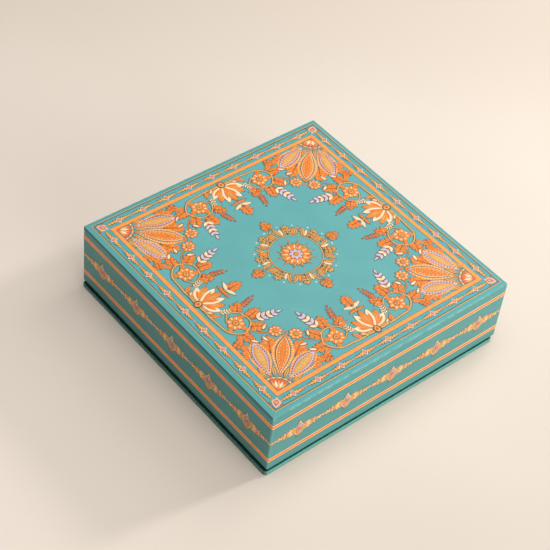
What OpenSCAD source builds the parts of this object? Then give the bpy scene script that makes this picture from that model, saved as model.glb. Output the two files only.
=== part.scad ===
// Square sweet box of paper-wrapped greyboard: a thin plinth, a tray divided into sixteen cells
// that stands glued on it, and a loose lid that lifts straight off.
// Millimetres, +Z up. The front faces -Y. The origin is at the middle of the whole box in plan,
// on the surface that the box stands on.

/* [Lid] */
// Outside width of the lid, along X
lid_w = 200; // [150:1:300]
// Outside depth of the lid, along Y
lid_d = 200; // [150:1:300]
// Height of the lid from its rim to its top
lid_h = 49.5; // [45:0.5:70]
// Thickness of the lid's greyboard
lid_board_t = 2; // [1.5:0.1:3]
// Radius of the lid's upright edges
lid_edge_r = 1; // [0.6:0.1:2]

/* [Fit of the lid] */
// Room between tray and lid on each side, when the lid is centred
lid_clearance = 2.2; // [2.1:0.1:4]
// How far the loose lid has slid towards +X on the tray
lid_shift_x = 1.8; // [0:0.1:1.8]
// How far the loose lid has slid towards +Y on the tray
lid_shift_y = 0.8; // [0:0.1:1.8]
// Gap that shows between the lid's rim and the plinth
rim_gap = 1.5; // [0.8:0.1:4]

/* [Plinth] */
// How much narrower than the lid the plinth is, over the whole side
plinth_under = 0; // [0:0.5:3]
// Thickness of the plinth with its papers
plinth_t = 3; // [2:0.1:5]
// Radius of the plinth's corners, seen from above
plinth_corner_r = 3; // [1:0.5:6]
// Margin of the sheet that covers the underside
underside_margin = 4; // [2:0.5:10]

/* [Tray] */
// Thickness of the tray's greyboard
tray_board_t = 1.5; // [1:0.1:2]
// Radius of the tray's upright edges
tray_edge_r = 1; // [0.6:0.1:2]

/* [Paper] */
// Thickness of every glued paper
paper_t = 0.2; // [0.1:0.05:0.25]
// Width of paper that is folded over a rim or under an edge
turn_in = 15; // [8:1:20]
// How far the lining laps over the folded edge
lining_lap = 10; // [4:1:12]
// Leg of the tape folded round each corner of the board
tape_leg = 12; // [8:1:20]

/* [Dividers] */
// Thickness of a divider strip
divider_t = 1; // [0.6:0.1:1.5]
// Height of a divider strip
divider_h = 40; // [25:1:40]
// Radius of a divider's two upper corners
divider_corner_r = 4; // [1:0.5:8]
// Play of a divider in its slots and at the tray's walls
divider_play = 0.4; // [0.2:0.1:1]

/* [Hidden] */
$fn = 64;

// Cells along each side of the tray. NODES has one strip for each line between them.
cells = 4;
// Extra reach of a cut past the face that it opens
over = 1;

// Heights, from the table up
rim_z = plinth_t + rim_gap;
lid_top_z = rim_z + lid_h;
lid_board_top_z = lid_top_z - paper_t;
lid_ceiling_z = lid_board_top_z - lid_board_t;
tray_rim_z = lid_ceiling_z - paper_t;
tray_floor_z = plinth_t + tray_board_t;
sheet_z = tray_floor_z + paper_t;
divider_z = sheet_z + paper_t;

// Sizes in plan, from the outside in: paper, board, room inside the board, room inside the linings
lid_outer = [lid_w, lid_d];
lid_board_outer = inset(lid_outer, paper_t);
lid_inner = inset(lid_board_outer, lid_board_t);
lid_clear = inset(lid_inner, 2 * paper_t);
tray_outer = inset(lid_clear, lid_clearance);
tray_board_outer = inset(tray_outer, paper_t);
tray_inner = inset(tray_board_outer, tray_board_t);
tray_clear = inset(tray_inner, 2 * paper_t);
plinth_outer = lid_outer - [plinth_under, plinth_under];
plinth_board_outer = inset(plinth_outer, paper_t);

// Places in plan that put the origin at the middle of lid and plinth together
lid_at = [lid_place(lid_shift_x), lid_place(lid_shift_y)];
base_at = lid_at - [lid_shift_x, lid_shift_y];

// Dividers: each strip stands free of the walls by half the play at both ends
strip_size = inset(tray_clear, divider_play / 2);
cell_pitch = strip_size / cells;
slot_w = divider_t + divider_play;
slot_depth = (divider_h + divider_play) / 2;

function inset(size, by) = size - [2 * by, 2 * by];
function lid_place(shift) = max(0, (shift - plinth_under / 2) / 2);

// Rectangle with round corners, centred on the origin
module round_rectangle(size, r) {
    square(size - [2 * r, 0], center = true);
    square(size - [0, 2 * r], center = true);
    for (x = [-1, 1], y = [-1, 1])
        translate([x * (size.x / 2 - r), y * (size.y / 2 - r)]) circle(r);
}

// Upright block between two heights, with sharp or round corners in plan
module block(size, z0, z1, r = 0) {
    translate([0, 0, z0]) linear_extrude(z1 - z0) {
        if (r > 0) round_rectangle(size, r);
        else square(size, center = true);
    }
}

// Four walls of one thickness, whose inner corners keep the middle of the outer radius
module walls(size, z0, z1, t, r = 0) {
    difference() {
        block(size, z0, z1, r);
        block(inset(size, t), z0 - over, z1 + over, max(0, r - t));
    }
}

// Tape folded round the four upright corners, pressed flush into the face of the board
module corner_tapes(size, z0, z1, r) {
    intersection() {
        walls(size, z0, z1, paper_t, r);
        for (x = [-1, 1], y = [-1, 1])
            translate([x * size.x / 2, y * size.y / 2, (z0 + z1) / 2])
                cube([2 * tape_leg, 2 * tape_leg, z1 - z0], center = true);
    }
}

// One divider lying along X and standing on its long edge, slotted for the strips that cross it
module divider_strip(length, pitch, slots_open_upwards) {
    slot_z = slots_open_upwards ? divider_h - slot_depth : -over;
    translate([0, divider_t / 2, divider_z]) rotate([90, 0, 0]) linear_extrude(divider_t)
        difference() {
            union() {
                translate([-length / 2, 0]) square([length, divider_h - divider_corner_r]);
                translate([divider_corner_r - length / 2, 0])
                    square([length - 2 * divider_corner_r, divider_h]);
                for (x = [-1, 1])
                    translate([x * (length / 2 - divider_corner_r), divider_h - divider_corner_r])
                        circle(divider_corner_r);
            }
            for (i = [1 : cells - 1])
                translate([pitch * (i - cells / 2) - slot_w / 2, slot_z])
                    square([slot_w, slot_depth + over]);
        }
}

// Strip across the box, from its left wall to its right wall, on line i counted from the front
module divider_across(i) {
    color("antiquewhite") translate(base_at)
        translate([0, cell_pitch.y * (i - cells / 2), 0])
            divider_strip(strip_size.x, cell_pitch.x, true);
}

// Strip along the box, from its front wall to its back wall, on line i counted from the left
module divider_along(i) {
    color("antiquewhite") translate(base_at)
        translate([cell_pitch.x * (i - cells / 2), 0, 0]) rotate([0, 0, 90])
            divider_strip(strip_size.y, cell_pitch.y, false);
}

// Folded greyboard shell of the lid, open below
module lid_board() {
    z0 = rim_z + paper_t;
    r = lid_edge_r - paper_t;
    color("darkkhaki") translate(lid_at) difference() {
        block(lid_board_outer, z0, lid_board_top_z, r);
        block(lid_inner, z0 - over, lid_ceiling_z);
        corner_tapes(lid_board_outer, z0, lid_board_top_z, r);
    }
}

module lid_corner_tapes() {
    color("peru") translate(lid_at)
        corner_tapes(lid_board_outer, rim_z + paper_t, lid_board_top_z, lid_edge_r - paper_t);
}

// Printed paper over the top and the four sides, folded round the rim and up inside
module lid_wrap() {
    color("mediumaquamarine") translate(lid_at) {
        difference() {
            block(lid_outer, rim_z, lid_top_z, lid_edge_r);
            block(lid_board_outer, rim_z - over, lid_board_top_z, lid_edge_r - paper_t);
        }
        walls(lid_outer, rim_z, rim_z + paper_t, lid_board_t + 2 * paper_t, lid_edge_r);
        walls(lid_inner, rim_z, rim_z + turn_in, paper_t);
    }
}

// Plain paper on the lid's ceiling and walls, lapped over the folded edge of the wrap
module lid_lining() {
    fold_z = rim_z + turn_in;
    color("ivory") translate(lid_at) {
        block(lid_inner, tray_rim_z, lid_ceiling_z);
        walls(lid_inner, fold_z, lid_ceiling_z, paper_t);
        walls(inset(lid_inner, paper_t), fold_z - lining_lap, fold_z + paper_t, paper_t);
    }
}

// Greyboard panel of the plinth, with the folded paper pressed flush into its underside
module plinth_board() {
    color("darkkhaki") translate(base_at) difference() {
        block(plinth_board_outer, paper_t, plinth_t - paper_t, plinth_corner_r - paper_t);
        walls(plinth_board_outer + [over, over], paper_t - over, 2 * paper_t,
              turn_in - paper_t + over / 2);
    }
}

// Green paper over the plinth's top and edges, folded under all round
module plinth_wrap() {
    color("seagreen") translate(base_at) {
        difference() {
            block(plinth_outer, paper_t, plinth_t, plinth_corner_r);
            block(plinth_board_outer, paper_t - over, plinth_t - paper_t, plinth_corner_r - paper_t);
        }
        difference() {
            block(plinth_outer, paper_t, 2 * paper_t, plinth_corner_r);
            block(inset(plinth_outer, turn_in), paper_t - over, 2 * paper_t + over);
        }
    }
}

// Sheet that hides the folded edges under the plinth, and that the box stands on
module underside_sheet() {
    color("ivory") translate(base_at)
        block(inset(plinth_outer, underside_margin), 0, paper_t);
}

// Folded greyboard shell of the tray, open above, with the paper pressed flush into its underside
module tray_board() {
    r = tray_edge_r - paper_t;
    color("darkkhaki") translate(base_at) difference() {
        block(tray_board_outer, plinth_t, tray_rim_z - paper_t, r);
        block(tray_inner, tray_floor_z, tray_rim_z);
        walls(tray_board_outer + [over, over], plinth_t - over, plinth_t + paper_t,
              turn_in - paper_t + over / 2);
        corner_tapes(tray_board_outer, plinth_t + paper_t, tray_rim_z - paper_t, r);
    }
}

module tray_corner_tapes() {
    color("peru") translate(base_at)
        corner_tapes(tray_board_outer, plinth_t + paper_t, tray_rim_z - paper_t,
                     tray_edge_r - paper_t);
}

// Green paper round the tray, folded under the floor, and over the rim and down inside
module tray_wrap() {
    color("seagreen") translate(base_at) {
        walls(tray_outer, plinth_t, tray_rim_z, paper_t, tray_edge_r);
        difference() {
            block(tray_outer, plinth_t, plinth_t + paper_t, tray_edge_r);
            block(inset(tray_outer, turn_in), plinth_t - over, plinth_t + paper_t + over);
        }
        difference() {
            block(tray_outer, tray_rim_z - paper_t, tray_rim_z, tray_edge_r);
            block(inset(tray_inner, paper_t), tray_rim_z - over, tray_rim_z + over);
        }
        walls(tray_inner, tray_rim_z - turn_in, tray_rim_z, paper_t);
    }
}

// Plain paper on the tray's floor and walls, lapped over the folded edge of the wrap
module tray_lining() {
    fold_z = tray_rim_z - turn_in;
    color("ivory") translate(base_at) {
        block(tray_inner, tray_floor_z, sheet_z);
        walls(tray_inner, tray_floor_z, fold_z, paper_t);
        walls(inset(tray_inner, paper_t), fold_z - paper_t, fold_z + lining_lap, paper_t);
    }
}

// Loose greaseproof sheet under the dividers
module greaseproof_sheet() {
    color("whitesmoke") translate(base_at)
        block(inset(tray_clear, divider_play), sheet_z, divider_z);
}

lid_board();
lid_corner_tapes();
lid_wrap();
lid_lining();
plinth_board();
plinth_wrap();
underside_sheet();
tray_board();
tray_corner_tapes();
tray_wrap();
tray_lining();
greaseproof_sheet();
divider_across(1);  // divider_across_front
divider_across(2);  // divider_across_middle
divider_across(3);  // divider_across_back
divider_along(1);  // divider_along_left
divider_along(2);  // divider_along_middle
divider_along(3);  // divider_along_right
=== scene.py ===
"""Looks of the paper-wrapped sweet box: printed lid, green plinth and tray, plain papers and card inside.

The print stands on the lid as raised ink, one mesh for each ink. Shapes are in millimetres until an
object is made. Objects, camera and lamps are in metres.
"""
import cmath
import math
import random

import bmesh
import bpy
import numpy as np
from mathutils import Matrix, Vector


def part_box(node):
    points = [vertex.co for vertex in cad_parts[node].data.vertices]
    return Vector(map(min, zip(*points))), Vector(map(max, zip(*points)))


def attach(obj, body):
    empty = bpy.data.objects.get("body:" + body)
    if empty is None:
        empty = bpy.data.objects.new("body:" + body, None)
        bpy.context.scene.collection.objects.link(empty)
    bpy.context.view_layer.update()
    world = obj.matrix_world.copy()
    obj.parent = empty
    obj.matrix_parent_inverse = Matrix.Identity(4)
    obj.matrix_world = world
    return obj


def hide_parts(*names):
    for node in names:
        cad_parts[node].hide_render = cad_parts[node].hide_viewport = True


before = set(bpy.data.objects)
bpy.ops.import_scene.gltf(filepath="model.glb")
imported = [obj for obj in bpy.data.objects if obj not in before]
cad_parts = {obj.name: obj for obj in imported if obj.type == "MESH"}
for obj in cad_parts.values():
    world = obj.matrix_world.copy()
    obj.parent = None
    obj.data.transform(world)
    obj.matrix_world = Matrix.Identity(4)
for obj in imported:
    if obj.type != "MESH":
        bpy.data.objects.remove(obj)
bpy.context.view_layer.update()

random.seed(20)
MM = 0.001


# Sizes that come from the frame

def node_box(name):
    """Lowest and highest corner of a CAD node, in millimetres."""
    low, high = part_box(name)
    return np.array(low) / MM, np.array(high) / MM


def middle(name):
    """Middle of a CAD node seen from above, as a complex number x + iy."""
    low, high = node_box(name)
    return complex(*(low + high)[:2]) / 2


def half_width(name):
    """Half of a CAD node's size along X."""
    low, high = node_box(name)
    return (high - low)[0] / 2


LID_AT = middle("lid_wrap")
LID_HALF = half_width("lid_wrap")
RIM_Z = node_box("lid_wrap")[0][2]
TOP_Z = node_box("lid_wrap")[1][2]
BASE_AT = middle("plinth_wrap")
PLINTH_HALF = half_width("plinth_wrap")
PLINTH_Z = node_box("plinth_wrap")[1][2]
TRAY_HALF = half_width("tray_wrap")
TRAY_TOP_Z = node_box("tray_wrap")[1][2]
PAPER = node_box("underside_sheet")[1][2]
LID_BOARD = half_width("lid_board") - half_width("lid_lining")
TRAY_BOARD = half_width("tray_board") - half_width("tray_lining")

# Sizes of the folded papers that the frame's boxes don't show
LID_EDGE_R = 1.0
TRAY_EDGE_R = 1.0
PLINTH_CORNER_R = 3.0
FOLD_R = 0.45
FOLD_STEPS = 4
TURN_IN = 15.0


# Camera, floor and light

CAMERA_SPOT = (-0.51925, -0.51592, 0.76918)
CAMERA_HEADING = 45.708
CAMERA_TILT = 45.129
CAMERA_ROLL = 7.213
CAMERA_LENS = 101.55


def new_object(name, data):
    """An object in the scene."""
    item = bpy.data.objects.new(name, data)
    bpy.context.scene.collection.objects.link(item)
    return item


def make_camera():
    """Looks down at the box's near corner from the left and the front, rolled a little."""
    data = bpy.data.cameras.new("camera")
    data.sensor_width = 36
    data.lens = CAMERA_LENS
    data.clip_start = 0.05
    camera = new_object("camera", data)
    turn = (
        Matrix.Rotation(math.radians(CAMERA_HEADING - 90), 3, "Z")
        @ Matrix.Rotation(math.radians(90 - CAMERA_TILT), 3, "X")
        @ Matrix.Rotation(math.radians(CAMERA_ROLL), 3, "Z")
    )
    camera.matrix_world = Matrix.LocRotScale(Vector(CAMERA_SPOT), turn, None)
    bpy.context.scene.camera = camera


def direction(azimuth, elevation):
    """Unit vector towards a direction given in degrees from +X and above the floor."""
    turn = math.radians(azimuth)
    rise = math.radians(elevation)
    return Vector((math.cos(turn) * math.cos(rise), math.sin(turn) * math.cos(rise), math.sin(rise)))


def make_lamp(name, azimuth, elevation, distance, size, power):
    """A round soft lamp that aims at the box."""
    data = bpy.data.lights.new(name, "AREA")
    data.shape = "DISK"
    data.size = size
    data.energy = power
    lamp = new_object(name, data)
    away = direction(azimuth, elevation)
    lamp.location = away * distance
    lamp.rotation_mode = "QUATERNION"
    lamp.rotation_quaternion = away.to_track_quat("Z", "Y")


# Sky lights: azimuth from +X and height in degrees, how tightly gathered, and strength
SKY_LIGHTS = ((0, 90, 8, 4.0), (-90, 5, 16, 9.87))
SKY_LEAST = 0.03


def make_sky():
    """Soft light that is gathered overhead and low in front."""
    world = bpy.data.worlds.new("sky")
    world.use_nodes = True
    tree = world.node_tree
    place = tree.nodes.new("ShaderNodeTexCoord").outputs["Generated"]
    total = None
    for azimuth, elevation, gather, strength in SKY_LIGHTS:
        aim = tree.nodes.new("ShaderNodeVectorMath")
        aim.operation = "DOT_PRODUCT"
        tree.links.new(place, aim.inputs[0])
        aim.inputs[1].default_value = direction(azimuth, elevation)
        light = Amount(tree, aim.outputs["Value"]).larger(0.0).math("POWER", gather) * strength
        total = light + (total or SKY_LEAST)
    tree.links.new(total.socket, tree.nodes["Background"].inputs["Strength"])
    tree.nodes["Background"].inputs["Color"].default_value = (1, 1, 1, 1)
    bpy.context.scene.world = world


# Materials

def srgb(red, green, blue):
    """Linear colour of an sRGB one whose channels run from 0 to 255."""
    levels = [c / 255 for c in (red, green, blue)]
    return (*(c / 12.92 if c < 0.04045 else ((c + 0.055) / 1.055) ** 2.4 for c in levels), 1)


class Amount:
    """A number that changes over a surface. Sums and products of it add Math nodes."""

    def __init__(self, tree, socket):
        self.tree = tree
        self.socket = socket

    def math(self, operation, *others):
        """A Math node whose first input is this amount."""
        node = self.tree.nodes.new("ShaderNodeMath")
        node.operation = operation
        for socket, value in zip(node.inputs, (self, *others)):
            if isinstance(value, Amount):
                self.tree.links.new(value.socket, socket)
            else:
                socket.default_value = value
        return Amount(self.tree, node.outputs[0])

    def __add__(self, other):
        return self.math("ADD", other)

    def __sub__(self, other):
        return self.math("SUBTRACT", other)

    def __mul__(self, other):
        return self.math("MULTIPLY", other)

    def __abs__(self):
        return self.math("ABSOLUTE")

    def larger(self, other):
        return self.math("MAXIMUM", other)

    def step(self, low, high):
        """0 up to low, 1 from high on, and smooth between them."""
        node = self.tree.nodes.new("ShaderNodeMapRange")
        node.interpolation_type = "SMOOTHSTEP"
        node.inputs["From Min"].default_value = low
        node.inputs["From Max"].default_value = high
        self.tree.links.new(self.socket, node.inputs["Value"])
        return Amount(self.tree, node.outputs["Result"])


class Finish:
    """A material in the making, whose patterns lie in the object's own space."""

    def __init__(self, name, roughness, specular=0.5):
        self.material = bpy.data.materials.new(name)
        self.material.use_nodes = True
        self.tree = self.material.node_tree
        self.link = self.tree.links.new
        self.shader = self.tree.nodes["Principled BSDF"]
        self.shader.inputs["Roughness"].default_value = roughness
        self.shader.inputs["Specular IOR Level"].default_value = specular
        self.place = self.node("TexCoord").outputs["Object"]

    def node(self, kind):
        return self.tree.nodes.new("ShaderNode" + kind)

    def axes(self):
        """x, y and z of the surface in millimetres."""
        split = self.node("SeparateXYZ")
        self.link(self.place, split.inputs[0])
        return [Amount(self.tree, out) * (1 / MM) for out in split.outputs]

    def noise(self, size, detail, stretch=(1, 1, 1)):
        """Cloudy pattern from 0 to 1 whose lumps are about size millimetres across."""
        scaled = self.node("VectorMath")
        scaled.operation = "MULTIPLY"
        scaled.inputs[1].default_value = [1 / (size * MM * s) for s in stretch]
        self.link(self.place, scaled.inputs[0])
        node = self.node("TexNoise")
        node.inputs["Scale"].default_value = 1
        node.inputs["Detail"].default_value = detail
        self.link(scaled.outputs[0], node.inputs["Vector"])
        return Amount(self.tree, node.outputs["Fac"])

    def stored(self, name):
        """A value that the mesh holds for each of its points."""
        node = self.node("Attribute")
        node.attribute_name = name
        return Amount(self.tree, node.outputs["Fac"])

    def mix(self, amount, first, second):
        """Colour that goes from first to second with amount."""
        node = self.node("Mix")
        node.data_type = "RGBA"
        self.link(amount.socket, node.inputs[0])
        for socket, colour in ((node.inputs[6], first), (node.inputs[7], second)):
            if isinstance(colour, bpy.types.NodeSocket):
                self.link(colour, socket)
            else:
                socket.default_value = colour
        return node.outputs[2]

    def colour(self, socket):
        self.link(socket, self.shader.inputs["Base Color"])

    def roughness(self, amount):
        self.link(amount.socket, self.shader.inputs["Roughness"])

    def relief(self, height, depth):
        """Surface relief of at most depth millimetres."""
        node = self.node("Bump")
        node.inputs["Distance"].default_value = depth * MM
        self.link(height.socket, node.inputs["Height"])
        self.link(node.outputs["Normal"], self.shader.inputs["Normal"])


def plain_paper(name, light, dark, roughness, fleck=3.0, fibre=0.4, depth=0.02):
    """Paper or board of one colour with clouds, short fibres and a slightly uneven face."""
    finish = Finish(name, roughness)
    clouds = finish.noise(fleck * 6, 3)
    fibres = finish.noise(fibre, 4, (1, 5, 1)) * 0.5 + finish.noise(fibre, 4, (5, 1, 1)) * 0.5
    tone = (clouds * 0.45 + fibres * 0.55).step(0.36, 0.64)
    finish.colour(finish.mix(tone, dark, light))
    finish.roughness(fibres * 0.2 + (roughness - 0.1))
    finish.relief(fibres, depth)
    return finish.material


# Tones of the green papers, with a pale painted highlight on the plinth's front and painted shade on its
# ledge
TRAY_GREENS = (srgb(26, 108, 92), srgb(16, 92, 76))
PLINTH_GREENS = (srgb(20, 96, 80), srgb(26, 106, 90))
PLINTH_FRONT_HIGHLIGHT = srgb(82, 150, 138)
PLINTH_LEDGE_SHADE = srgb(6, 36, 30)


def plinth_paper():
    """Glossy green plinth paper, with painted shade on the ledge round the tray and a pale painted
    highlight on its front.
    """
    finish = Finish("plinth_paper", roughness=0.2, specular=0.8)
    x, y, z = finish.axes()
    # Painted shade on the ledge round the tray, away from the front edge and the side faces
    side_rim = abs(x - BASE_AT.real).step(PLINTH_HALF - 0.6, PLINTH_HALF - 0.3)
    behind = (y - BASE_AT.imag + PLINTH_HALF).step(1.3, 1.7) * (side_rim * -1 + 1)
    ledge = behind * z.step(PLINTH_Z - 0.3, PLINTH_Z - 0.1)
    # Pale painted highlight on the front face
    front = (y * -1 + BASE_AT.imag).step(PLINTH_HALF - 0.6, PLINTH_HALF - 0.2)
    fibres = finish.noise(0.4, 4, (1, 5, 1))
    tone = finish.mix(fibres.step(0.36, 0.64), *PLINTH_GREENS)
    tone = finish.mix(front, tone, PLINTH_FRONT_HIGHLIGHT)
    finish.colour(finish.mix(ledge, tone, PLINTH_LEDGE_SHADE))
    finish.roughness(fibres * 0.2 + 0.16)
    finish.relief(fibres, 0.01)
    return finish.material


# Tones of the printed paper, and the distance between the dots of its field
TEAL = srgb(89, 156, 155)
TEAL_BAND = srgb(72, 150, 154)
TEAL_DEEP = srgb(84, 149, 149)
TEAL_EDGE = srgb(76, 145, 143)
# Teal of the walls, darker than the top's: painted shade
TEAL_WALL_SHADE = srgb(79, 145, 141)
TEAL_WALL_SHADE_DEEP = srgb(75, 138, 136)
# Painted shade under the left fold
LEFT_FOLD_SHADE = srgb(34, 84, 82)
# Pale painted highlight, with some rubbed wear, for the front fold and the near upright edge
RUBBED_HIGHLIGHT = srgb(150, 196, 192)
PAPER_CORE = srgb(226, 222, 212)
DOT_PITCH = 3.5


def printed_paper():
    """Laminated teal paper: fine grain, cooler border band, faint dots in the field, painted shade and
    highlight, rubbed folds, a chip.
    """
    finish = Finish("printed_paper", roughness=0.5, specular=0.4)
    x, y, z = finish.axes()
    from_left = x - (LID_AT.real - LID_HALF)
    from_front = y - (LID_AT.imag - LID_HALF)
    below_top = z * -1 + TOP_Z
    grain = finish.noise(0.35, 4)
    cloud = finish.noise(24, 3)

    # The top, from its middle outwards: dotted field, border band, and edge outside the outer rule
    sheet = LID_AT + PRINT_SHIFT
    out = abs(x - sheet.real).larger(abs(y - sheet.imag))
    edge_side = out.step(OUTER_RULE, OUTER_RULE + 0.4)
    band = out.step(FRAME_MIDDLE, FRAME_MIDDLE + 0.5) - edge_side
    waves = [(axis * (math.pi / DOT_PITCH)).math("COSINE") for axis in (x + y, x - y)]
    dots = (waves[0] * waves[1]).step(0.8, 0.95) * (out * -1).step(-FRAME_MIDDLE, 0.5 - FRAME_MIDDLE)
    tone = finish.mix((cloud * 0.6 + grain * 0.4).step(0.3, 0.7), TEAL_DEEP, TEAL)
    tone = finish.mix(band, tone, TEAL_BAND)
    tone = finish.mix(edge_side, tone, TEAL_EDGE)
    tone = finish.mix(dots * 0.5, tone, TEAL_DEEP)

    # The walls, in a darker teal than the top: painted shade
    side = finish.mix((cloud * 0.5 + grain * 0.5).step(0.35, 0.65), TEAL_WALL_SHADE_DEEP, TEAL_WALL_SHADE)
    on_top = (below_top * -1).step(-0.2, -0.1)
    tone = finish.mix(on_top, side, tone)

    # Painted shade under the left fold, a painted highlight with some rubbed wear on the front fold and
    # near edge, and a chipped corner
    # Painted shade along the top of the left wall
    left_fold_shade = (below_top * -1).step(-2.4, -1.5) * (from_left * -1).step(-0.5, -0.3)
    tone = finish.mix(left_fold_shade * 0.7, tone, LEFT_FOLD_SHADE)
    # Pale painted highlight with some rubbed wear along the front fold
    front_fold = below_top + from_front
    rubbed_highlight = (front_fold * -1).step(-1.5, -0.9) * front_fold.step(0.1, 0.3)
    uneven = finish.noise(5, 5).step(0.38, 0.6)
    tone = finish.mix(rubbed_highlight * uneven * 0.22, tone, RUBBED_HIGHLIGHT)
    # Faint pale painted highlight on the walls by the near upright edge
    upright = (from_left.larger(from_front) * -1).step(-2.2, -0.6) * (on_top * -1 + 1)
    tone = finish.mix(upright * 0.1, tone, RUBBED_HIGHLIGHT)
    corner = from_left + from_front + abs(below_top - 1.2) + finish.noise(0.7, 3)
    finish.colour(finish.mix((corner * -1).step(-1.5, -1.2), tone, PAPER_CORE))

    finish.roughness(grain * 0.2 + 0.4)
    finish.relief(grain, 0.012)
    return finish.material


# Each ink's colour at the middle of a stroke and at its rim
INKS = {
    "orange": (srgb(211, 119, 36), srgb(230, 150, 62)),
    "amber": (srgb(234, 144, 62), srgb(240, 158, 80)),
    "stripe": (srgb(252, 112, 44), srgb(252, 124, 52)),
    "straw": (srgb(236, 190, 120), srgb(244, 208, 148)),
    "deep": (srgb(206, 74, 34), srgb(222, 106, 54)),
    "gold": (srgb(208, 162, 90), srgb(178, 126, 64)),
    "cream": (srgb(228, 210, 178), srgb(214, 178, 130)),
    "lilac": (srgb(190, 184, 208), srgb(180, 160, 186)),
    "pink": (srgb(190, 104, 100), srgb(212, 160, 156)),
    "brown": (srgb(98, 62, 34), srgb(84, 50, 26)),
    "blue": (srgb(44, 58, 118), srgb(60, 84, 140)),
    "jade": (srgb(30, 136, 140), srgb(60, 156, 150)),
    "shade": (srgb(50, 106, 110), srgb(60, 118, 122)),
}


# Share of an ink's red, green and blue that is left in its blotches
BLOTCH = (0.84, 0.62, 0.5)


def ink_finish(name):
    """Thick satin ink: one tone in mid stroke, another at its rim, and dark blotches."""
    heart, rim = INKS[name]
    finish = Finish("ink_" + name, roughness=0.42, specular=0.4)
    speckle = finish.noise(0.5, 3)
    cloud = finish.noise(5, 2)
    to_rim = (finish.stored("across").math("POWER", 3) * 0.8 + cloud * 0.5).step(0.2, 1.0)
    tone = finish.mix(to_rim, heart, rim)
    dim = (*(c * share for c, share in zip(heart, BLOTCH)), 1)
    blotch = finish.noise(2.6, 3).step(0.42, 0.72) * 0.35 + speckle.step(0.45, 0.75) * 0.25
    finish.colour(finish.mix(blotch, tone, dim))
    finish.roughness(speckle * 0.2 + 0.34)
    finish.relief(speckle, 0.01)
    return finish.material


FLOOR_CREAMS = (srgb(202, 190, 177), srgb(206, 194, 181))
# Painted shade far behind and painted light on the left
FLOOR_FAR_SHADE = srgb(192, 179, 165)
FLOOR_LEFT_LIGHT = srgb(215, 203, 190)


def floor_finish():
    """Seamless cream studio paper, barely mottled, with painted light on the left and painted shade far
    behind.
    """
    finish = Finish("floor_paper", roughness=0.7, specular=0.25)
    x, y = finish.axes()[:2]
    cloud = finish.noise(180, 2)
    grain = finish.noise(1.2, 3)
    mottle = (cloud * 0.7 + grain * 0.3).step(0.3, 0.7)
    tone = finish.mix(mottle, *FLOOR_CREAMS)
    # Painted shade far behind, then painted light on the left
    tone = finish.mix((x + y).step(240, 560), tone, FLOOR_FAR_SHADE)
    finish.colour(finish.mix((x * -1).step(110, 300), tone, FLOOR_LEFT_LIGHT))
    finish.relief(grain, 0.03)
    return finish.material


# Meshes

SHARP_ANGLE = math.radians(42)


def new_piece(name, points, faces, look, body=None, replaces=()):
    """A mesh object from points in millimetres: a piece on a body, or else part of the stage."""
    mesh = bpy.data.meshes.new(name)
    mesh.from_pydata((np.asarray(points) * MM).tolist(), [], faces)
    work = bmesh.new()
    work.from_mesh(mesh)
    bmesh.ops.recalc_face_normals(work, faces=work.faces)
    work.to_mesh(mesh)
    work.free()
    mesh.shade_smooth()
    mesh.set_sharp_from_angle(angle=SHARP_ANGLE)
    mesh.materials.append(look)
    piece = new_object(name, mesh)
    if body is None:
        return piece
    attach(piece, body)
    if replaces:
        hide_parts(*replaces)
    return piece


FLOOR_HALF = 6000


def make_floor():
    """Wide sheet that the box stands on."""
    corners = [(x * FLOOR_HALF, y * FLOOR_HALF, 0) for x, y in ((-1, -1), (1, -1), (1, 1), (-1, 1))]
    new_piece("floor", corners, [(0, 1, 2, 3)], floor_finish())


CORNER_STEPS = 6
LEAST_R = 0.05


def round_square(half, radius):
    """Outline of a square with round corners, as complex numbers."""
    radius = max(radius, LEAST_R)
    turns = np.exp(0.5j * np.pi * np.arange(CORNER_STEPS + 1) / CORNER_STEPS)
    arc = (half - radius) * (1 + 1j) + radius * turns
    return np.concatenate([arc * 1j ** quarter for quarter in range(4)])


def fold(inset, height, start, end):
    """Section pairs of a folded edge: an arc about one pair, between two directions in degrees."""
    turns = np.radians(np.linspace(start, end, FOLD_STEPS + 1))
    return [(inset + FOLD_R * math.cos(turn), height + FOLD_R * math.sin(turn)) for turn in turns]


def sweep(section, half, radius, at, capped):
    """Points and faces of a section of (inset, height) pairs that is carried round a square.

    A capped one has a face over the whole plan at its first and last pair. Any other closes on itself.
    """
    points = []
    for inset, height in section:
        ring = round_square(half - inset, radius - inset) + at
        points += [(spot.real, spot.imag, height) for spot in ring]
    around = 4 * (CORNER_STEPS + 1)
    bands = len(section) - 1 if capped else len(section)
    faces = []
    for band in range(bands):
        here = band * around
        there = (band + 1) % len(section) * around
        for spot in range(around):
            beside = (spot + 1) % around
            faces.append((here + spot, here + beside, there + beside, there + spot))
    if capped:
        faces += [tuple(range(first, first + around)) for first in (0, bands * around)]
    return points, faces


# How far the flat faces of lid and plinth run inwards as rings before they are closed
LID_FLAT = 4.0
PLINTH_FLAT = 8.0


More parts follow.
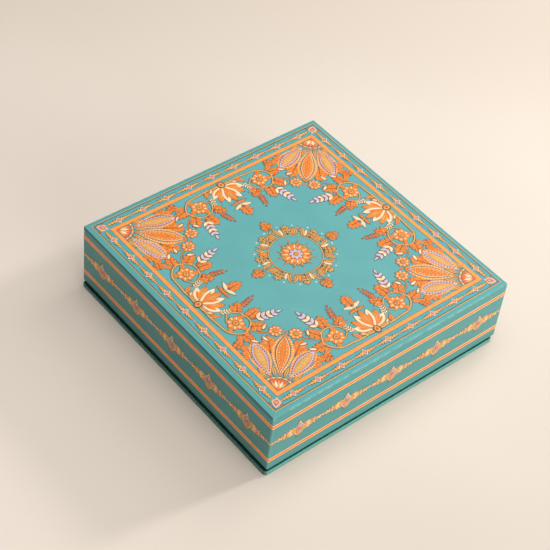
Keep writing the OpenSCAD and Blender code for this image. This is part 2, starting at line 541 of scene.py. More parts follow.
def lid_wrap(look):
    """Printed paper folded over the lid's edges, round its rim and up inside."""
    rim = LID_BOARD + 2 * PAPER
    section = [
        (LID_FLAT, TOP_Z),
        *fold(FOLD_R, TOP_Z - FOLD_R, 90, 180),
        *fold(FOLD_R, RIM_Z + FOLD_R, 180, 270),
        *fold(rim - FOLD_R, RIM_Z + FOLD_R, 270, 360),
        (rim, RIM_Z + TURN_IN),
        (rim - PAPER, RIM_Z + TURN_IN),
        (rim - PAPER, RIM_Z + PAPER),
        (PAPER, RIM_Z + PAPER),
        (PAPER, TOP_Z - PAPER),
        (LID_FLAT, TOP_Z - PAPER),
    ]
    points, faces = sweep(section, LID_HALF, LID_EDGE_R, LID_AT, capped=True)
    new_piece("lid_paper", points, faces, look, "lid", ["lid_wrap"])


def plinth_wrap(look):
    """Green paper over the plinth, folded under all round."""
    section = [
        (PLINTH_FLAT, PLINTH_Z),
        *fold(FOLD_R, PLINTH_Z - FOLD_R, 90, 180),
        *fold(FOLD_R, PAPER + FOLD_R, 180, 270),
        (TURN_IN, PAPER),
        (TURN_IN, 2 * PAPER),
        (PAPER, 2 * PAPER),
        (PAPER, PLINTH_Z - PAPER),
        (PLINTH_FLAT, PLINTH_Z - PAPER),
    ]
    points, faces = sweep(section, PLINTH_HALF, PLINTH_CORNER_R, BASE_AT, capped=True)
    new_piece("plinth_paper", points, faces, look, "base", ["plinth_wrap"])


def tray_wrap(look):
    """Green paper round the tray, folded under its floor and over its rim."""
    rim = TRAY_BOARD + 2 * PAPER
    section = [
        (TURN_IN, PLINTH_Z),
        *fold(FOLD_R, PLINTH_Z + FOLD_R, 270, 180),
        *fold(FOLD_R, TRAY_TOP_Z - FOLD_R, 180, 90),
        *fold(rim - FOLD_R, TRAY_TOP_Z - FOLD_R, 90, 0),
        (rim, TRAY_TOP_Z - TURN_IN),
        (rim - PAPER, TRAY_TOP_Z - TURN_IN),
        (rim - PAPER, TRAY_TOP_Z - PAPER),
        (PAPER, TRAY_TOP_Z - PAPER),
        (PAPER, PLINTH_Z + PAPER),
        (TURN_IN, PLINTH_Z + PAPER),
    ]
    points, faces = sweep(section, TRAY_HALF, TRAY_EDGE_R, BASE_AT, capped=False)
    new_piece("tray_paper", points, faces, look, "base", ["tray_wrap"])


# Raised print: panels, and a pen that draws on them

# How far the print lies off the middle of the lid, and half sizes of the top's square lines
PRINT_SHIFT = 0.7 + 0.35j
OUTER_RULE = 96.0
CHAIN_LINE = 91.6
FRAME_OUTER = 87.65
FRAME_INNER = 85.0
FRAME_MIDDLE = (FRAME_OUTER + FRAME_INNER) / 2

# Height of the ink at level 0, for each level more, and for its swelling, and how deep it is sunk
INK_LOW = 0.05
INK_STEP = 0.042
PUFF = 0.02
SUNK = 0.05
# Up to this much is added to a stroke's height, so that no two faces fall together
LOOSE = 0.008

# Least half width of a stroke, width of a dark outline, and half width from which WIDE is used
HAIR = 0.02
OUTLINE = 0.26
BROAD = 1.2

# Level and shift of the printed shadow, and half width from which a shape has one
SHADE_LEVEL = -0.6
SHADE_SHIFT = -0.55 + 0.05j
SHADED = 0.8

# Sections of a stroke, as shares of its half width and height
WIDE = np.array([(-1, 0), (-1, 0.82), (-0.7, 0.96), (0, 1), (0.7, 0.96), (1, 0.82), (1, 0)])
NARROW = np.array([(-1, 0), (-0.85, 0.85), (0, 1), (0.85, 0.85), (1, 0)])
FLAT = np.array([(-1, 0), (-0.92, 1), (0.92, 1), (1, 0)])
FLAT_INKS = ("brown", "shade")

RING_STEPS = 64
ARC_STEPS = 16


class TopPanel:
    """The lid's top. A spot is x + iy from its middle."""

    def place(self, spots, heights):
        spots = spots + LID_AT
        return np.stack([spots.real, spots.imag, TOP_Z + heights], -1)


class SidePanel:
    """A side of the lid, bent round its upright edges. A spot is x along it and iy up from its top."""

    def __init__(self, quarter):
        self.along = 1j ** quarter
        self.out = -1j * self.along

    def place(self, spots, heights):
        flat = LID_HALF - LID_EDGE_R
        angle = np.maximum(abs(spots.real) - flat, 0) / LID_EDGE_R
        reach = LID_EDGE_R + heights
        run = np.sign(spots.real) * (np.minimum(abs(spots.real), flat) + reach * np.sin(angle))
        out = flat + reach * np.cos(angle)
        plan = LID_AT + self.along * run + self.out * out
        return np.stack([plan.real, plan.imag, TOP_Z + spots.imag], -1)


class Ink:
    """Raised strokes of one ink, gathered until they become one mesh."""

    def __init__(self):
        self.points = []
        self.faces = []
        self.across = []
        self.count = 0

    def add(self, points, across, closed):
        """Adds a stroke from its rows of points, with end faces unless it closes on itself."""
        rows, size = across.shape
        row = np.arange(rows if closed else rows - 1)[:, None]
        here = self.count + row * size
        there = self.count + (row + 1) % rows * size
        spot = np.arange(size)
        beside = (spot + 1) % size
        quads = np.stack([here + spot, here + beside, there + beside, there + spot], -1)
        self.faces += quads.reshape(-1, 4).tolist()
        if not closed:
            for first in (self.count, self.count + (rows - 1) * size):
                self.faces.append(list(range(first, first + size)))
        self.points.append(points.reshape(-1, 3))
        self.across.append(across.ravel())
        self.count += rows * size


inks = {name: Ink() for name in INKS}


def round_spot(radius, degrees):
    """The spot at a radius and in a direction."""
    return cmath.rect(radius, math.radians(degrees))


class Pen:
    """Draws raised ink on a panel. Lines are complex numbers, and widths are in millimetres.

    The lift is added to the level of all that it draws, so that one motif can lie over another.
    """

    def __init__(self, panel, spot=0, turn=1, flipped=False, lift=0):
        self.panel = panel
        self.spot = spot
        self.turn = turn
        self.flipped = flipped
        self.lift = lift

    def spots(self, line):
        """A line of the motif as spots of the panel."""
        line = np.asarray(line, complex)
        return self.spot + self.turn * (line.conj() if self.flipped else line)

    def at(self, spot, degrees=0.0, size=1.0, flipped=False, lift=0):
        """The pen for a motif that is moved to a spot, turned, scaled and mirrored."""
        turn = size * cmath.exp(1j * math.radians(degrees))
        if self.flipped:
            turn = turn.conjugate()
        place = complex(self.spots(spot))
        return Pen(self.panel, place, self.turn * turn, self.flipped != flipped, self.lift + lift)

    def polar(self, radius, degrees, lift=0):
        """The pen moved out from the middle of a round motif, heading outwards."""
        return self.at(round_spot(radius, degrees), degrees, lift=lift)

    def stroke(self, ink, line, halves, level, closed=False, shift=0):
        """A raised ribbon along a line, with its half width at each point of the line."""
        spots = self.spots(line) + shift
        if closed:
            ahead = np.roll(spots, -1) - np.roll(spots, 1)
        else:
            ahead = np.gradient(spots)
        halves = np.maximum(np.broadcast_to(halves, spots.shape) * abs(self.turn), HAIR)
        if ink in FLAT_INKS:
            section = FLAT
        else:
            section = WIDE if halves.max() > BROAD else NARROW
        across = np.broadcast_to(section[:, 0], (len(spots), len(section)))
        flanks = spots[:, None] + across * (halves * 1j * ahead / abs(ahead))[:, None]
        rise = INK_LOW + INK_STEP * level + PUFF * np.minimum(halves, 1)[:, None]
        rise = rise + random.uniform(0, LOOSE)
        heights = section[:, 1] * (rise + SUNK) - SUNK
        inks[ink].add(self.panel.place(flanks, heights), abs(across), closed)

    def draw(self, ink, line, halves, level, closed=False):
        """A stroke that is lifted with its motif."""
        self.stroke(ink, line, halves, level + self.lift, closed)

    def outline(self, line, halves):
        """Dark edge of a shape that is laid over it, with its printed shadow if it lies on the paper."""
        grown = np.asarray(halves) + OUTLINE / abs(self.turn)
        self.draw("brown", line, grown, 0)
        if self.lift == 0 and np.max(grown) * abs(self.turn) > SHADED:
            self.stroke("shade", line, grown, SHADE_LEVEL, shift=SHADE_SHIFT)

    def bead(self, ink, spot, radius, level, steps=6):
        """A raised round dot."""
        run = -np.cos(np.linspace(0, math.pi, steps + 1))
        self.draw(ink, spot + radius * run, radius * np.sqrt(np.maximum(1 - run * run, 0)), level)

    def ring(self, ink, radius, half, level):
        """A raised circle."""
        turns = math.tau * np.arange(RING_STEPS) / RING_STEPS
        self.draw(ink, radius * np.exp(1j * turns), half, level, closed=True)

    def arc(self, ink, radius, start, end, half, level):
        """A raised part of a circle between two directions in degrees."""
        turns = np.radians(np.linspace(start, end, ARC_STEPS + 1))
        self.draw(ink, radius * np.exp(1j * turns), half, level)


# Motifs, each of which starts at the pen's spot and grows along its heading

# Roundness of a leaf's sides, the usual place of its belly, and the length of a pale branch's leaves
FULLNESS = 0.85
LEAF_LEAN = 0.8
PALE_LEAF = 5.8
STEM_SHARES = np.linspace(0, 1, 9)


def swell(share, lean):
    """Width of a leaf along its length, from 0 to 1 to 0. A lean under 1 puts the belly near the base."""
    return np.maximum(np.sin(math.pi * np.clip(share, 0, 1) ** lean), 0) ** FULLNESS


def blade_shape(length, width, bend, lean, inset, steps):
    """Middle line and half widths of a leaf; an inset makes it smaller all round."""
    share = np.linspace(0, 1, steps + 1)
    run = inset + share * (length - 2 * inset)
    halves = np.maximum(width / 2 - inset, 0) * swell(share, lean)
    return run + 1j * bend * run * abs(run) / length, halves


def blade(pen, ink, length, width, level=1, bend=0.0, lean=LEAF_LEAN, inset=0.0, steps=5):
    """A plain leaf shape."""
    pen.draw(ink, *blade_shape(length, width, bend, lean, inset, steps), level)


def edge(pen, length, width, bend=0.0, lean=LEAF_LEAN, steps=5):
    """The dark outline of a leaf shape, a little longer than the leaf."""
    line, halves = blade_shape(length, width, bend, lean, -OUTLINE / abs(pen.turn), steps)
    pen.outline(line, np.maximum(halves - OUTLINE / abs(pen.turn), 0))


def outlined(pen, ink, length, width, bend=0.0, lean=LEAF_LEAN, steps=5):
    """A plain leaf shape over its dark outline."""
    edge(pen, length, width, bend, lean, steps)
    blade(pen, ink, length, width, bend=bend, lean=lean, steps=steps)


def bow(length, bend, share):
    """Spots at some shares of a line that bends more and more as it grows."""
    return length * (share + 1j * bend * share * share)


def along_bow(pen, length, bend, share, turn=0):
    """The pen at a share of a bending line, turned from the line's heading there."""
    return pen.at(bow(length, bend, share), math.degrees(math.atan(2 * bend * share)) + turn)


def leaf(pen, length, width, ink="orange", rib="deep", bend=0.0):
    """An outlined leaf with a rib along its middle."""
    outlined(pen, ink, length, width, bend, steps=7)
    pen.draw(rib, bow(length, bend, np.linspace(0.1, 0.82, 4)), 0.22 * np.linspace(1, 0.5, 4), 2)


# Lobes on each side of a leaf: place along it, angle in degrees, and share of its length
LOBES = ((0.12, 74, 0.40), (0.34, 60, 0.45), (0.58, 44, 0.36))


def lobed_leaf(pen, length, ink="orange", vein="deep"):
    """A broad leaf with three lobes on each side, veins and an outline."""
    parts = [(0, 0, 1.0, 0.30)]
    parts += [(share, side * angle, long, 0.25) for share, angle, long in LOBES for side in (-1, 1)]
    for share, angle, long, wide in parts:
        lobe = pen.at(length * share, angle)
        outlined(lobe, ink, length * long, length * wide, lean=1.1, steps=6)
        lobe.draw(vein, length * long * np.array([0, 0.4, 0.82]), [0.26, 0.22, 0.12], 2)
    pen.draw("brown", length * np.array([0, 0.45, 0.7]), [0.22, 0.17, 0.08], 3)


def flower(pen, radius, count=8, ink="orange", inside="cream", heart="deep"):
    """A star of pointed petals round a beaded heart."""
    wide = 4.4 * radius / count
    for n in range(count):
        petal = pen.polar(radius * 0.2, 360 * n / count)
        outlined(petal, ink, radius * 0.8, wide, lean=1.2, steps=6)
        blade(petal.at(radius * 0.26), inside, radius * 0.4, wide * 0.32, level=2, lean=1, steps=4)
    pen.bead("brown", 0, radius * 0.36, 3, 8)
    pen.bead("gold", 0, radius * 0.31, 4, 8)
    pen.bead(heart, 0, radius * 0.17, 5)


def pale_branch(pen, length, pairs, bend):
    """A stem with pairs of pale leaves and one at its tip."""
    line = bow(length, bend, STEM_SHARES)
    pen.outline(line, 0.42 - 0.2 * STEM_SHARES)
    pen.draw("orange", line, 0.42 - 0.2 * STEM_SHARES, 1)
    for n in range(pairs):
        share = 0.2 + 0.62 * n / (pairs - 1)
        ink = "lilac" if n % 2 else "cream"
        for side in (-1, 1):
            place = along_bow(pen, length, bend, share, side * 48)
            leaf(place, PALE_LEAF * (1 - 0.35 * share), 2.5, ink, "gold", -0.1 * side)
    leaf(along_bow(pen, length, bend, 1), PALE_LEAF * 0.75, 2.3, "lilac", "gold")


def bud_spray(pen, length, rows, bend):
    """A thin stem with rows of red buds that shrink towards its tip."""
    pen.draw("gold", bow(length, bend, STEM_SHARES), 0.3 - 0.12 * STEM_SHARES, 1)
    for n in range(rows):
        share = 0.25 + 0.75 * n / (rows - 1)
        size = 2.9 * (1 - 0.45 * share)
        for angle in (-42, 42) if n < rows - 1 else (0,):
            bud = along_bow(pen, length, bend, share, angle).at(0.5)
            outlined(bud, "deep", size, size * 0.72, lean=1.2)
            bud.bead("orange", size * 0.6, size * 0.13, 2, 4)


def fern(pen, length, pairs, bend):
    """A stem with small pale leaflets in pairs that shorten towards its tip."""
    pen.draw("gold", bow(length, bend, STEM_SHARES), 0.26 - 0.1 * STEM_SHARES, 1)
    for n in range(pairs):
        share = 0.18 + 0.78 * n / (pairs - 1)
        long = length * 0.27 * (1 - 0.5 * share)
        for side in (-1, 1):
            leaflet = along_bow(pen, length, bend, share, side * 50)
            outlined(leaflet, "cream", long, long * 0.42, lean=1.1)


def through(spots, steps=6):
    """A smooth line through some spots, as a cubic from each spot b to the next one, c."""
    row = np.array([2 * spots[0] - spots[1], *spots, 2 * spots[-1] - spots[-2]], complex)
    t = np.arange(steps) / steps
    parts = []
    for a, b, c, d in zip(row, row[1:], row[2:], row[3:]):
        curve = (2 * a - 5 * b + 4 * c - d) * t ** 2 + (3 * b - a - 3 * c + d) * t ** 3
        parts.append((2 * b + (c - a) * t + curve) / 2)
    return np.append(np.concatenate(parts), spots[-1])


def stem(pen, spots, half, ink="gold"):
    """An outlined stem through some spots, that thins towards its end."""
    line = through(spots)
    halves = half * np.linspace(1, 0.55, len(line))
    pen.outline(line, halves)
    pen.draw(ink, line, halves, 1)


PETAL_LEAN = 1.25
PETAL_STEPS = 14

# Bands of a petal as ink and inset, and its rows of beads as ink, inset, radius, count and level
GREAT_BANDS = (("orange", 0), ("brown", 1.9), ("jade", 2.1), ("cream", 2.8), ("orange", 3.3))
GREAT_BEADS = (
    ("cream", 1.0, 0.5, 15, 2),
    ("deep", 4.1, 0.5, 11, 6),
    ("cream", 4.9, 0.42, 8, 6),
    ("deep", 5.8, 0.5, 9, 6),
    ("gold", 6.6, 0.4, 7, 6),
)
LESS_BANDS = (("orange", 0), ("brown", 1.5), ("lilac", 1.7), ("deep", 3.2), ("gold", 3.5))
LESS_BEADS = (
    ("cream", 0.8, 0.42, 14, 2),
    ("brown", 2.45, 0.4, 12, 4),
    ("orange", 4.5, 0.5, 9, 6),
    ("deep", 6, 0.4, 7, 6),
)


def bead_rows(pen, ink, length, width, inset, radius, count, level):
    """Beads along both edges of a petal, at an inset from its outline."""
    share = np.linspace(0.1, 0.9, count)
    run = inset + share * (length - 2 * inset)
    aside = 1j * (width / 2 - inset) * swell(share, PETAL_LEAN)
    for spot in (*(run + aside), *(run - aside)):
        pen.bead(ink, spot, radius, level, 4)


def great_petal(pen, length, width, bands, beads):
    """A long petal of nested bands with rows of beads."""
    edge(pen, length, width, lean=PETAL_LEAN, steps=PETAL_STEPS)
    for n, (ink, inset) in enumerate(bands):
        blade(pen, ink, length, width, level=n + 1, lean=PETAL_LEAN, inset=inset, steps=PETAL_STEPS)
    for ink, inset, radius, count, level in beads:
        bead_rows(pen, ink, length, width, inset, radius, count, level)


# Petals of a blossom from its outermost to its middle one, as lean in degrees and share of the height
BLOSSOM_PETALS = ((78, 0.66), (56, 0.8), (36, 0.9), (17, 0.96), (0, 1.0))


def blossom(pen, height):
    """A many-petalled blossom seen from the side, growing along the heading from a small cup."""
    for n, (angle, share) in enumerate(BLOSSOM_PETALS):
        ink, inside = ("cream", "orange") if n % 2 else ("orange", "gold")
        for side in (-1, 1) if angle else (1,):
            petal = pen.at(0, side * angle, lift=n).at(height * 0.08)
            long = height * share * 0.92
            outlined(petal, ink, long, height * 0.3, lean=1.15, steps=9)
            blade(petal.at(long * 0.24), inside, long * 0.56, height * 0.12, level=2, lean=1, steps=6)
            petal.draw("deep", long * np.array([0.3, 0.55, 0.74]), [0.3, 0.24, 0.1], 3)
    for side in (-1, 1):
        leaf(pen.at(0, side * 93, lift=4), height * 0.55, height * 0.15, "gold", "brown", side * -0.12)
    pen.bead("brown", 0, height * 0.16, 7, 8)
    pen.bead("gold", 0, height * 0.13, 8, 8)
    pen.bead("deep", 0, height * 0.07, 9)


# The print's designs

# The top's chain: jewels on each side of the middle one and their distance, and its garlands
TOP_LINKS = 4
TOP_PITCH = CHAIN_LINE * 0.85 / TOP_LINKS
PLUME_START = 1.8
PLUME_HEIGHT = 3.1


def plume(pen, length):
    """A garland of the top border: three tufts that shrink along the heading, and a bead."""
    for n in (2, 1, 0):
        tall = PLUME_HEIGHT * (1 - 0.2 * n)
        tuft = pen.at(length * 0.31 * n)
        for side in (-1, 1):
            outlined(tuft.at(0, side * 36), "gold", tall * 0.8, tall * 0.46, lean=0.9)
        edge(tuft, length * 0.46, tall * 0.46)
        blade(tuft, "amber", length * 0.46, tall * 0.46, level=2)
        blade(tuft.at(0.2), "gold", length * 0.3, tall * 0.2, level=3, steps=4)
    pen.bead("pink", length + 0.4, 0.15 * PLUME_HEIGHT, 1, 4)


# Pairs of leaflets in a garland of the side, where it starts from a jewel, and its height
SWAG_PAIRS = 6
SWAG_START = 3.4
SWAG_HEIGHT = 6.6


def swag(pen, length):
    """A garland of the side border that tapers along the heading, of tilted leaflets in pairs."""
    blade(pen.at(length - 0.9), "straw", 2.9, 1.7)
    for n in reversed(range(SWAG_PAIRS)):
        share = n / SWAG_PAIRS
        tall = SWAG_HEIGHT * (1 - 0.58 * share)
        step = pen.at(length * share)
        for side in (-1, 1):
            leaflet = step.at(0, side * 52)
            edge(leaflet, tall * 0.64, tall * 0.4, bend=0.1 * side, lean=1.1)
            ink = "straw" if n % 2 else "gold"
            blade(leaflet, ink, tall * 0.68, tall * 0.46, bend=0.1 * side, lean=1.1)
            blade(leaflet.at(tall * 0.18), "orange", tall * 0.38, tall * 0.13, level=2, lean=1.1, steps=4)
        ink = ("orange", "straw", "pink")[n % 3]
        blade(step, ink, length / SWAG_PAIRS * 1.5, tall * 0.34, level=3, lean=0.9)
        blade(step.at(0.3), "cream", length / SWAG_PAIRS * 0.8, tall * 0.12, level=4, lean=0.9, steps=4)


def jewel(pen, shape, bands, heart):
    """An outlined jewel of nested bands along the heading, from (run, half width) pairs, with a bead."""
    line = through([complex(*pair) for pair in shape], 3)
    run, halves = line.real, np.maximum(line.imag, 0)
    pen.outline(run, halves)
    for n, (ink, inset) in enumerate(bands):
        inside = halves > inset
        pen.draw(ink, run[inside], halves[inside] - inset, n + 1)
    pen.bead(*heart)


# Jewels as (run, half width) pairs and as bands of ink and inset
SMALL_JEWEL = ((-2.2, 0.5), (-1.4, 1.6), (-0.4, 2.1), (0.6, 1.6), (1.6, 0.8), (2.7, 0))
SMALL_BANDS = (("cream", 0), ("pink", 0.5))
LARGE_JEWEL = ((-6.4, 0.3), (-5.4, 1.8), (-3.4, 3.4), (-0.8, 4.1), (1.6, 3.7), (3.6, 2.3), (5.4, 0.3))
LARGE_BANDS = (("cream", 0), ("brown", 0.85), ("gold", 1.1), ("pink", 1.9))


def small_jewel(pen, size=1.0):
    """Jewel of the top border, whose point is along the heading, with a gold finial at its other end."""
    pen = pen.at(0, 0, size)
    blade(pen.at(-1.8, 180), "gold", 1.6, 1.1, lean=1)
    jewel(pen, SMALL_JEWEL, SMALL_BANDS, ("gold", -0.5, 0.7, 3, 5))


def large_jewel(pen):
    """Upright jewel of the side chain, with a pale crown and gold leaves under it."""
    up = pen.at(0, 90)
    for angle in (-40, 0, 40):
        leaf(up.at(-5.2, 180 + angle), 2.8, 1.5, "gold", "brown")
    for angle in (-30, 0, 30):
        leaf(up.at(4.2, angle), 3.9 if angle == 0 else 2.4, 1.3, "cream", "gold")
    jewel(up, LARGE_JEWEL, LARGE_BANDS, ("deep", 0.6, 0.9, 6, 6))
    blade(up.at(1.0, -14), "lilac", 3.2, 1.8, level=5, lean=0.9)
    blade(up.at(-0.8, 180), "gold", 3.8, 2.8, level=5, lean=0.9, steps=6)
    up.bead("cream", 0.6, 0.4, 7, 5)


def border_chain(top):
    """Jewels and garlands between the outer rule and the frame, on all four sides of the top."""
    for quarter in range(4):
        side = top.at(0, 90 * quarter)
        small_jewel(side.at(CHAIN_LINE * (1 - 1j), -45), 1.5)
        for angle in (45, 225):
            leaf(side.at(CHAIN_LINE * (1 - 1j), angle).at(2.2), 2.6, 1.3, "gold", "brown")
        for n in range(-TOP_LINKS, TOP_LINKS + 1):
            link = side.at(TOP_PITCH * n - 1j * CHAIN_LINE)
            small_jewel(link.at(0, -90))
            for way in (0, 180):
                plume(link.at(0, way).at(PLUME_START), TOP_PITCH / 2 - PLUME_START - 0.5)
        for way in (0, 180):
            last = side.at(-1j * CHAIN_LINE, way).at(TOP_LINKS * TOP_PITCH + PLUME_START)
            plume(last, CHAIN_LINE - TOP_LINKS * TOP_PITCH - PLUME_START - 3.6)


def square_band(pen, ink, half, width, level):
    """A band round a square, with mitred corners."""
    corners = half * (1 + 1j) * 1j ** np.arange(4)
    pen.stroke(ink, corners, width / math.sqrt(2), level, closed=True)


def top_frame(top):
    """The outer rule and the bold frame of the top."""
    square_band(top, "brown", OUTER_RULE - 0.35, 0.6, 0)
    square_band(top, "gold", OUTER_RULE + 0.2, 0.6, 1)
    square_band(top, "brown", FRAME_MIDDLE, FRAME_OUTER - FRAME_INNER + 0.6, 0)
    square_band(top, "amber", FRAME_MIDDLE, FRAME_OUTER - FRAME_INNER, 1)


# Radii of the fan's disc, its beaded collar and the foot of its petals, and their spread in degrees
DISC_R = 4.9
COLLAR_R = 10.6
PETAL_R = 11.6
FAN_SPREAD = 28


def corner_fan(pen):
    """Quarter of a great flower in a corner of the frame, opening along the heading."""
    pen.arc("brown", DISC_R, -44, 44, 4.6, 0)
    pen.arc("deep", DISC_R, -42, 42, 4.2, 1)
    for n in range(5):
        ink = "cream" if n % 2 else "gold"
        blade(pen.polar(2.2, 17 * n - 34), ink, 6, 1.9, level=2, lean=1.2, steps=7)
    pen.arc("brown", COLLAR_R, -44, 44, 1.0, 0)
    pen.arc("gold", COLLAR_R, -44, 44, 0.75, 1)
    for n in range(9):
        pen.bead("deep" if n % 2 else "cream", round_spot(COLLAR_R, 10 * n - 40), 0.5, 2, 5)
    for angle in (-41, -14, 14, 41):
        leaf(pen.polar(12, angle), 9, 2.6, "gold", "brown")
        if abs(angle) > 30:
            lobed_leaf(pen.polar(29, angle * 0.95).at(0, -0.35 * angle), 12)
        else:
            lobed_leaf(pen.polar(31, angle), 15)
    for way in (-1, 1):
        great_petal(pen.polar(PETAL_R, FAN_SPREAD * way, 1), 31, 13.4, LESS_BANDS, LESS_BEADS)
    great_petal(pen.polar(PETAL_R, 0, 2), 36, 14.4, GREAT_BANDS, GREAT_BEADS)
    pen.bead("deep", 49.4, 0.9, 1, 6)
    for way in (-1, 1):
        bud_spray(pen.polar(43, FAN_SPREAD * way), 8, rows=3, bend=0)


# The scroll beside a blossom, and its leaves as spot, heading in degrees and length
SCROLL = [3 + 5j, 11 + 3j, 20 + 3.6j, 30 + 5j, 36 + 13j, 30.5 + 22j, 21 + 21j, 17 + 14j, 22 + 9j]
SCROLL_LEAVES = (
    (13 + 3.2j, 64, 7),
    (35 + 8.5j, -22, 8),
    (30.5 + 5j, 128, 5.5),
    (35.2 + 16j, 196, 6),
    (18.5 + 19j, 172, 7),
    (24 + 22.5j, 262, 6),
)
SCROLL_LOBED = (
    (36 + 11j, 14, 10),
    (33.6 + 19.4j, 58, 11),
    (26.5 + 23j, 100, 11),
    (19 + 20j, 140, 9),
)


def side_spray(pen):
    """Half of the ornament along one side of the frame, to the right of its blossom."""
    stem(pen, SCROLL, 0.75)
    for spot, heading, length in SCROLL_LEAVES:
        leaf(pen.at(spot, heading), length, 2.7)
    for spot, heading, length in SCROLL_LOBED:
        lobed_leaf(pen.at(spot, heading), length)
    flower(pen.at(26 + 13.4j), 6.2)
    stem(pen, [34 + 17j, 41 + 21j, 45.5 + 28j], 0.5, "orange")
    flower(pen.at(45.5 + 30j, 20), 4.8)
    pale_branch(pen.at(29 + 24j, 72, lift=3), 17, pairs=4, bend=0.08)
    bud_spray(pen.at(17 + 23j, 96), 13, rows=5, bend=0.12)
    fern(pen.at(13 + 9j, 70), 12, pairs=6, bend=0.12)
    lobed_leaf(pen.at(38.5 + 2.2j, 22), 9)
    for spot, heading in ((44.5 + 20j, 10), (40 + 24j, 120), (43 + 12j, 40), (8 + 2.4j, 52)):
        leaf(pen.at(spot, heading, lift=3), 5.5, 2.3, "cream", "gold")


def field(top):
    """The field inside the frame: corner fans, sprays round a blossom on each side, and a rosette."""
    inner = FRAME_INNER - 0.4
    for quarter in range(4):
        corner_fan(top.at(inner * (1 + 1j) * 1j ** quarter, 225 + 90 * quarter))
        side = top.at(-1j * inner * 1j ** quarter, 90 * quarter)
        for flipped in (False, True):
            side_spray(side.at(0, 180 if flipped else 0, flipped=flipped))
        blossom(side.at(3.5j, 90), 19)
        stem(side, [22j, 24j, 26j, 28j], 0.5)
        lobed_leaf(side.at(28j, 90), 10.5)
        for way in (-1, 1):
            leaf(side.at(26j, 90 + 58 * way), 7.5, 2.6, "cream", "gold", 0.2 * way)
            leaf(side.at(23.5j, 90 + 78 * way), 6, 2.3, bend=0.2 * way)
    rosette(top)


# Radii of the wreath's stem, the foot of its leaves, its jewels and its finials, and a jewel's beads
WREATH_R = 18.2
WREATH_LEAF_R = 18.8
WREATH_JEWEL_R = 23.4
FINIAL_R = 27.5
WREATH_JEWEL = (("brown", 1.75), ("gold", 1.5), ("blue", 0.95), ("cream", 0.3))


def rosette(pen):
    """A wreath of gold leaves with jewels round a flower, at the middle of the top."""
    pen.ring("brown", WREATH_R, 0.62, 0)
    pen.ring("gold", WREATH_R, 0.4, 1)
    for n in range(16):
        turn = 22.5 * n
        ink = "cream" if n % 2 else "orange"
        leaf(pen.polar(WREATH_LEAF_R, turn + 11.25, 1), 6.5, 2.6, ink, "gold")
        if n % 2:
            lobed_leaf(pen.polar(WREATH_LEAF_R, turn), 9.5, "gold", "brown")
        else:
            for way in (-1, 1):
                leaf(pen.polar(WREATH_LEAF_R, turn + 7 * way, 2), 8, 2.8, "gold", "brown", -0.25 * way)
            for level, (tone, radius) in enumerate(WREATH_JEWEL, 4):
                pen.bead(tone, round_spot(WREATH_JEWEL_R, turn), radius, level, 8)
        pen.bead("cream", round_spot(FINIAL_R + 0.1, turn + 11.25), 0.6, 1, 5)
    for n in range(4):
        finial = pen.polar(FINIAL_R, 90 * n)
        lobed_leaf(finial, 9.5)
        for way in (-1, 1):
            leaf(finial.at(0.5, way * 64), 5.5, 2, "gold", "brown", -0.3 * way)
    for n in range(12):
        leaf(pen.polar(6.4, 30 * n + 15), 5.6, 2.2, "gold", "brown")
        pen.bead("deep", round_spot(13.4, 30 * n + 15), 0.65, 1, 5)
    flower(pen.at(0, lift=2), 10.5, 12, "orange", "cream", "jade")
    flower(pen.at(0, 15, lift=5), 5, 8, "lilac", "pink", "deep")


# The side's stripes: depths below the top and widths, and the distance between the jewels of its chain
STRIPE_DEPTHS = (9.2, 41.0)
STRIPE_WIDTH = 3.3
STRIPE_FLANK = 0.6
SIDE_PITCH = 38.7


def stripes(panel, rise):
    """Two orange stripes with pale gold flanks, which end at the middle of the edges."""
    flat = LID_HALF - LID_EDGE_R
    reach = LID_EDGE_R * math.pi / 4
    bend = np.linspace(0, reach, 4)
    run = np.concatenate([-flat - bend[::-1], flat + bend])
    pen = Pen(panel)
    for depth in STRIPE_DEPTHS:
        line = run + 1j * (rise - depth)
        pen.stroke("straw", line, STRIPE_WIDTH / 2, 0)
        pen.stroke("stripe", line, STRIPE_WIDTH / 2 - STRIPE_FLANK, 1)


def side_chain(pen):
    """Jewels and garlands along the middle of a side."""
    for n in range(-2, 3):
        link = pen.at(SIDE_PITCH * n)
        for way in (0, 180):
            swag(link.at(0, way).at(SWAG_START), SIDE_PITCH / 2 - SWAG_START - 1)
        large_jewel(link)
    for way in (-1, 1):
        end = 2.5 * SIDE_PITCH * way
        room = LID_HALF + 0.1 - abs(pen.spot.real + end)
        blade(pen.at(end, 90 - 90 * way), "gold", min(room, 4.6), 2.6, lean=1, steps=7)


def draw_print():
    """All printed designs of the lid."""
    top = Pen(TopPanel(), PRINT_SHIFT)
    top_frame(top)
    border_chain(top)
    field(top)
    # The print is one shifted sheet, so each side's part moves along it and up or down
    for quarter in range(4):
        panel = SidePanel(quarter)
        along = (PRINT_SHIFT * panel.along.conjugate()).real
        rise = -(PRINT_SHIFT * panel.out.conjugate()).real
        stripes(panel, rise)
        side_chain(Pen(panel, along + 1j * (rise - sum(STRIPE_DEPTHS) / 2)))


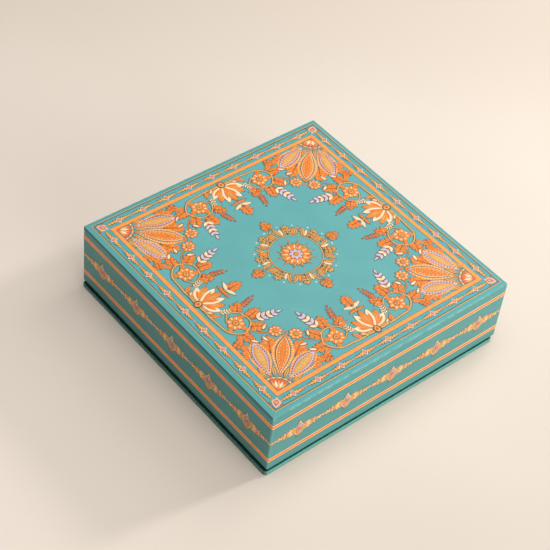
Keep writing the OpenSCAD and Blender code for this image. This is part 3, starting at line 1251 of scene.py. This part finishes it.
def make_print():
    """One mesh for each ink."""
    for name, ink in inks.items():
        points = np.concatenate(ink.points)
        piece = new_piece("print_" + name, points, ink.faces, ink_finish(name), "lid")
        stored = piece.data.attributes.new("across", "FLOAT", "POINT")
        stored.data.foreach_set("value", np.concatenate(ink.across).astype(np.float32))


# The CAD nodes that stay

BOARD_GREYS = (srgb(176, 168, 150), srgb(136, 128, 114))
LINING_CREAMS = (srgb(246, 240, 226), srgb(234, 226, 208))
GREASEPROOF_CREAMS = (srgb(248, 244, 234), srgb(238, 232, 216))
TAPE_BROWNS = (srgb(190, 150, 104), srgb(158, 120, 80))
CARD_CREAMS = (srgb(240, 234, 220), srgb(226, 218, 200))


def dress_nodes():
    """Gives each CAD node that keeps its shape the finish of its paper, board or card."""
    greyboard = plain_paper("greyboard", *BOARD_GREYS, roughness=0.85, fleck=2, fibre=0.6, depth=0.05)
    lining = plain_paper("lining_paper", *LINING_CREAMS, roughness=0.7)
    greaseproof = plain_paper(
        "greaseproof_paper", *GREASEPROOF_CREAMS, roughness=0.45, fleck=6, fibre=0.8, depth=0.03
    )
    tape = plain_paper("kraft_tape", *TAPE_BROWNS, roughness=0.6, fleck=2, fibre=0.5)
    card = plain_paper("divider_card", *CARD_CREAMS, roughness=0.6, fibre=0.5)
    dressed = {
        greyboard: ["lid_board", "plinth_board", "tray_board"],
        lining: ["lid_lining", "tray_lining", "underside_sheet"],
        greaseproof: ["greaseproof_sheet"],
        tape: ["lid_corner_tapes", "tray_corner_tapes"],
        card: [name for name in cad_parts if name.startswith("divider")],
    }
    for look, names in dressed.items():
        for name in names:
            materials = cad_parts[name].data.materials
            materials.clear()
            materials.append(look)


bpy.context.scene.view_settings.view_transform = "Standard"
make_camera()
make_floor()
make_sky()
make_lamp("key", azimuth=-13, elevation=27, distance=1.6, size=0.22, power=14.0)
make_lamp("near", azimuth=5, elevation=50, distance=1.0, size=0.5, power=2.5)
lid_wrap(printed_paper())
plinth_wrap(plinth_paper())
tray_wrap(plain_paper("green_paper", *TRAY_GREENS, roughness=0.34))
draw_print()
make_print()
dress_nodes()
